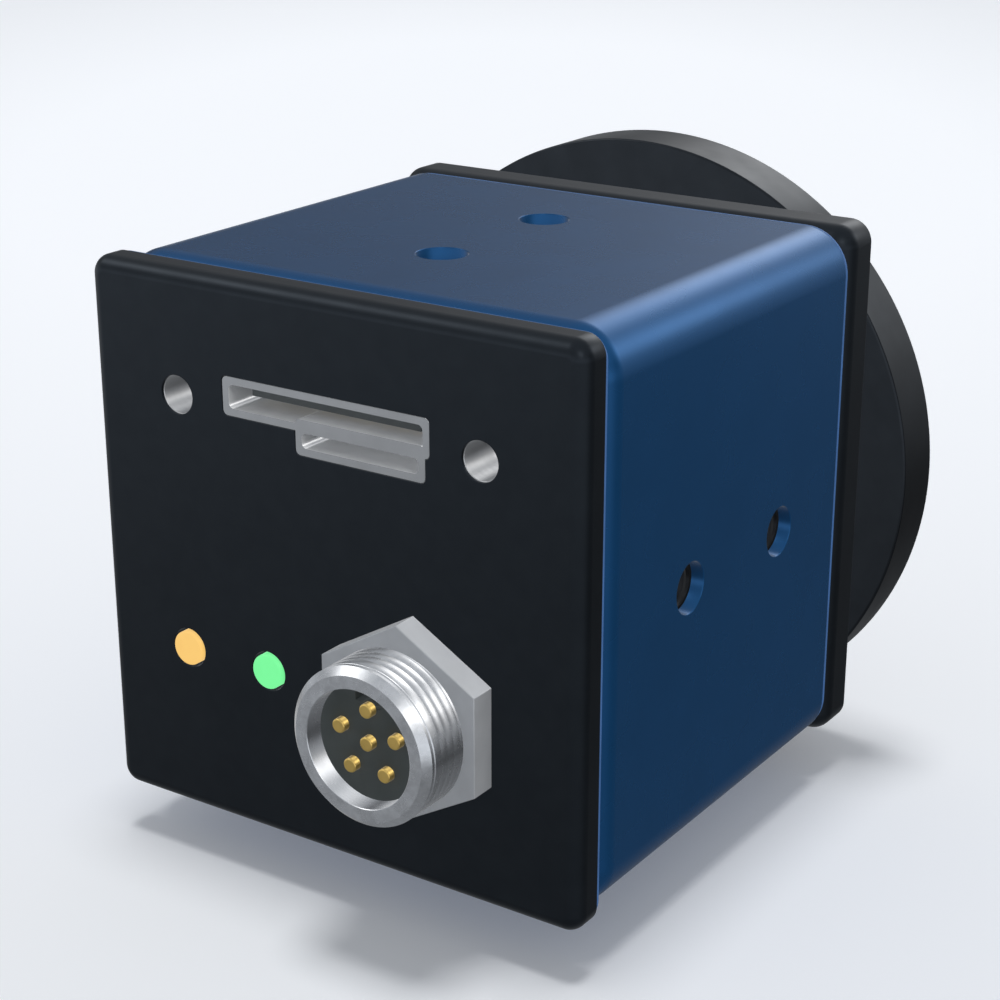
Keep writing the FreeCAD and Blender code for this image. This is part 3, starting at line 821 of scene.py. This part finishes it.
UP, LO, W = (-6.05, 6.20, 7.70, 9.65), (-1.60, 5.95, 6.50, 8.29), 0.37
usb = bar(UP, yy(0.04), yy(5.50), 0.27)
usb.name = "usb_body"
boolean(usb, bar((UP[0] + W, UP[1] - W, UP[2] + W, UP[3] - W), yy(-1), yy(6), 0.27, 10))
boolean(usb, bar(LO, yy(0.04), yy(5.50), 0.27), "UNION")
boolean(usb, bar((LO[0] + W, LO[1] - W, LO[2] + W, 7.64), yy(-1), yy(6), 0.27, 10))
smooth(usb, 34)
dress(usb, M["usb"], "camera", ["usb_shell"])
usb.data.materials.append(M["usb_in"])


def in_opening(c, t, m):
    return t[0] + m < c[0] < t[1] - m and t[2] + m < c[2] < t[3] - m


# The inner walls and floors of both openings take the lighter copy, which paints light into the recess.
for p in usb.data.polygons:
    c = [(p.center[i] + usb.location[i]) / MM for i in range(3)]
    if abs(p.normal.y) < 0.7 and c[1] < yy(5.4) and (in_opening(c, UP, W - 0.01) or in_opening(c, LO, W - 0.01)):
        p.material_index = 1

# ---------------------------------------------------------------------------
# CAD nodes that stay, with finer edges and their own materials
# ---------------------------------------------------------------------------
KEEP = {
    "rear_gasket": ("silicone", 0.03), "front_gasket": ("silicone", 0.03), "case_screws": ("screw", 0.04),
    "inner_frame": ("frame", 0.05), "sensor_holder": ("frame", 0.05), "filter_glass": ("filter", 0.05),
    "filter_retaining_ring": ("screw", 0.04), "sensor_package": ("ceramic", 0.04), "sensor_die": ("silicon", 0.01),
    "sensor_window": ("window", 0.04), "sensor_gasket": ("rubber", 0.05), "interface_board": ("board", 0.03),
    "main_board": ("board", 0.03), "sensor_board": ("board", 0.03), "board_spacers_rear": ("steel", 0.04),
    "board_spacers_mid": ("steel", 0.04), "board_spacers_front": ("steel", 0.04), "board_screws": ("steel", 0.03),
    "processor_chip": ("chip", 0.04), "thermal_pad": ("pad", 0.04), "heat_spreader": ("bare", 0.05),
    "memory_chips": ("chip", 0.04), "board_connectors": ("cream", 0.04), "board_parts": ("chip", 0.03),
    "usb_insulator": ("tongue", 0.02), "usb_contacts": ("gold", 0.01), "io_connector_insulator": ("insul", 0.03),
    "io_connector_nut": ("hex", 0.06), "io_connector_seal": ("rubber", 0.03), "status_leds": ("led", 0.04),
}
for name, (key, width) in KEEP.items():
    o = NODES[name]
    o.data.materials.clear()
    o.data.materials.append(M[key])
    o.data.polygons.foreach_set("material_index", [0] * len(o.data.polygons))
    o.data.polygons.foreach_set("use_smooth", [True] * len(o.data.polygons))
    if o.data.has_custom_normals:
        o.data.attributes.remove(o.data.attributes["custom_normal"])
    w = o.modifiers.new("weld", "WELD")
    w.merge_threshold = 1e-6
    b = o.modifiers.new("bevel", "BEVEL")
    b.width, b.segments, b.limit_method, b.angle_limit = width * MM, 2, "ANGLE", math.radians(32)
    n = o.modifiers.new("wn", "WEIGHTED_NORMAL")
    n.weight, n.keep_sharp = 60, False

# ---------------------------------------------------------------------------
# Stage, light and camera
# ---------------------------------------------------------------------------
FLOOR_Z = -17.2 * MM
n = 96
fv = [(4 * math.cos(2 * math.pi * i / n), 4 * math.sin(2 * math.pi * i / n), 0) for i in range(n)]
me = bpy.data.meshes.new("floor")
me.from_pydata(fv, [], [tuple(range(n))])
floor = link("floor", me)
floor.location = (0, 0, FLOOR_Z)
# The floor glows. Its emission is a painted pool of light, brightest in an oval round the object and fading outwards,
# and the glow also lightens the cast shadow on the floor.
fm = Mat("floor_painted_light_pool", (0.86, 0.875, 0.90), 0.8, 0.0, 0.1)
fm.set("Emission Color", (0.93, 0.95, 1.0))
mp = fm.node("ShaderNodeMapping")
mp.vector_type = "TEXTURE"
mp.inputs["Rotation"].default_value = (0, 0, math.radians(34))
mp.inputs["Scale"].default_value = (0.16, 0.26, 1)
mp.inputs["Location"].default_value = (-0.107, 0.142, 0)
fm.link(fm.coords(), mp.inputs["Vector"])
# Spherical gradient that sets the strength of the painted pool of light.
gr = fm.node("ShaderNodeTexGradient", gradient_type="SPHERICAL")
fm.link(mp.outputs[0], gr.inputs["Vector"])
fm.link(fm.span(gr.outputs["Fac"], 0.135, 0.235, 0.16, 0.60), fm.b.inputs["Emission Strength"])
me.materials.append(fm.m)
floor.visible_glossy = False
floor.visible_diffuse = False
floor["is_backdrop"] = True

w = bpy.data.worlds.new("studio")
bpy.context.scene.world = w
w.use_nodes = True
nt = w.node_tree
bg = nt.nodes["Background"]


def sky_ramp(stops):
    r = nt.nodes.new("ShaderNodeValToRGB")
    r.color_ramp.interpolation = "EASE"
    el = r.color_ramp.elements
    while len(el) < len(stops):
        el.new(0.5)
    for e, (z, v) in zip(el, stops):
        e.position = (z + 1) / 2
        e.color = (v * 0.92, v * 0.97, v * 1.04, 1)
    nt.links.new(height.outputs["Result"], r.inputs["Fac"])
    return r.outputs["Color"]


tc = nt.nodes.new("ShaderNodeTexCoord")
sep = nt.nodes.new("ShaderNodeSeparateXYZ")
nt.links.new(tc.outputs["Generated"], sep.inputs[0])
height = nt.nodes.new("ShaderNodeMapRange")
height.inputs["From Min"].default_value = -1
nt.links.new(sep.outputs["Z"], height.inputs["Value"])
turn = nt.nodes.new("ShaderNodeMapRange")
turn.interpolation_type = "SMOOTHSTEP"
turn.inputs["From Min"].default_value = -0.4
turn.inputs["From Max"].default_value = 0.4
nt.links.new(sep.outputs["Y"], turn.inputs["Value"])
near = sky_ramp([(-1.0, 0.22), (-0.5, 0.22), (-0.38, 0.31), (-0.29, 0.56), (-0.21, 0.98), (-0.1, 1.05), (0.3, 0.50), (1.0, 0.60)])
far = sky_ramp([(-1.0, 0.30), (-0.6, 0.13), (-0.43, 0.075), (-0.3, 0.08), (-0.14, 0.26), (0.0, 0.34), (0.12, 0.17), (0.24, 0.115), (0.5, 0.42), (1.0, 0.60)])
mx = nt.nodes.new("ShaderNodeMix")
mx.data_type = "RGBA"
nt.links.new(turn.outputs["Result"], mx.inputs["Factor"])
nt.links.new(near, mx.inputs[6])
nt.links.new(far, mx.inputs[7])


def maths(op, a, b=None):
    n = nt.nodes.new("ShaderNodeMath")
    n.operation = op
    for k, v in enumerate((a, b)):
        if v is None:
            continue
        if isinstance(v, (int, float)):
            n.inputs[k].default_value = v
        else:
            nt.links.new(v, n.inputs[k])
    return n.outputs[0]


def dot(v):
    n = nt.nodes.new("ShaderNodeVectorMath")
    n.operation = "DOT_PRODUCT"
    nt.links.new(tc.outputs["Generated"], n.inputs[0])
    n.inputs[1].default_value = v
    return n.outputs["Value"]


def softbox(az, el, su, sw, radiance):
    """A soft studio light in the sky. Azimuth 0 is straight behind the object (+Y),
    positive to +X; su and sw are its widths in degrees, across and up."""
    a, e = math.radians(az), math.radians(el)
    d = (math.sin(a) * math.cos(e), math.cos(a) * math.cos(e), math.sin(e))
    u = (math.cos(a), -math.sin(a), 0.0)
    w_ = (-math.sin(a) * math.sin(e), -math.cos(a) * math.sin(e), math.cos(e))
    qa = maths("DIVIDE", dot(u), math.sin(math.radians(su)))
    qb = maths("DIVIDE", dot(w_), math.sin(math.radians(sw)))
    q = maths("ADD", maths("MULTIPLY", qa, qa), maths("MULTIPLY", qb, qb))
    g = maths("EXPONENT", maths("MULTIPLY", q, -0.5))
    return maths("MULTIPLY", maths("MULTIPLY", g, radiance), maths("GREATER_THAN", dot(d), 0.0))


boxes = [softbox(-9, 27, 9.5, 8.5, 2.7), softbox(-48, -22, 13.0, 11.0, 0.75), softbox(33, 21, 9.5, 8.5, 2.4),
         softbox(-116, 41, 9.0, 8.0, 2.8), softbox(139, 29, 8.0, 8.0, 2.2)]
total = boxes[0]
for v in boxes[1:]:
    total = maths("ADD", total, v)
add = nt.nodes.new("ShaderNodeVectorMath")
add.operation = "ADD"
nt.links.new(mx.outputs[2], add.inputs[0])
nt.links.new(total, add.inputs[1])
lp = nt.nodes.new("ShaderNodeLightPath")
plain = nt.nodes.new("ShaderNodeMix")
plain.data_type = "RGBA"
nt.links.new(lp.outputs["Is Camera Ray"], plain.inputs["Factor"])
plain.inputs[6].default_value = (0.34, 0.355, 0.375, 1)
plain.inputs[7].default_value = (0.84, 0.86, 0.89, 1)
pick = nt.nodes.new("ShaderNodeMix")
pick.data_type = "RGBA"
nt.links.new(lp.outputs["Is Glossy Ray"], pick.inputs["Factor"])
nt.links.new(plain.outputs[2], pick.inputs[6])
nt.links.new(add.outputs[0], pick.inputs[7])
nt.links.new(pick.outputs[2], bg.inputs["Color"])
bg.inputs["Strength"].default_value = 1.0
w.cycles.sampling_method = "NONE"

# The skin reflects the studio only, not the parts beside it.
for o in bpy.data.objects:
    if o.type == "MESH":
        o.visible_glossy = False

ground = bpy.data.collections.new("ground")
ground.objects.link(floor)
sun = bpy.data.lights.new("key_top", "SUN")
sun.energy, sun.angle = 1.48, math.radians(18)
so = bpy.data.objects.new("key_top", sun)
bpy.context.scene.collection.objects.link(so)
so.visible_glossy = False
so.light_linking.receiver_collection = ground

part_only = bpy.data.collections.new("part_only")
part_only.objects.link(floor)
part_only.collection_objects[0].light_linking.link_state = "EXCLUDE"
d = bpy.data.lights.new("fill_front", "AREA")
d.shape, d.size, d.size_y = "RECTANGLE", 0.5, 0.5
d.energy = 4.5 * math.pi * 0.25
fill = bpy.data.objects.new("fill_front", d)
bpy.context.scene.collection.objects.link(fill)
a, e = math.radians(100), math.radians(35)
fp = Vector((math.sin(a) * math.cos(e), math.cos(a) * math.cos(e), math.sin(e)))
fill.location = fp * 0.8
fill.rotation_mode = "QUATERNION"
fill.rotation_quaternion = (-fp).to_track_quat("-Z", "Y")
fill.visible_camera = False
fill.visible_glossy = False
fill.light_linking.receiver_collection = part_only

cam = bpy.data.cameras.new("cam")
cam.lens, cam.sensor_width, cam.clip_start, cam.clip_end = 78.02, 36.0, 0.005, 20.0
co = bpy.data.objects.new("cam", cam)
bpy.context.scene.collection.objects.link(co)
co.location = (0.060890, -0.106190, 0.039616)
co.rotation_mode = "QUATERNION"
co.rotation_quaternion = Vector((-0.5258, 0.7788, -0.34195)).to_track_quat("-Z", "Y")
bpy.context.scene.camera = co
bpy.context.scene.view_settings.view_transform = "Standard"

lo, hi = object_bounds()
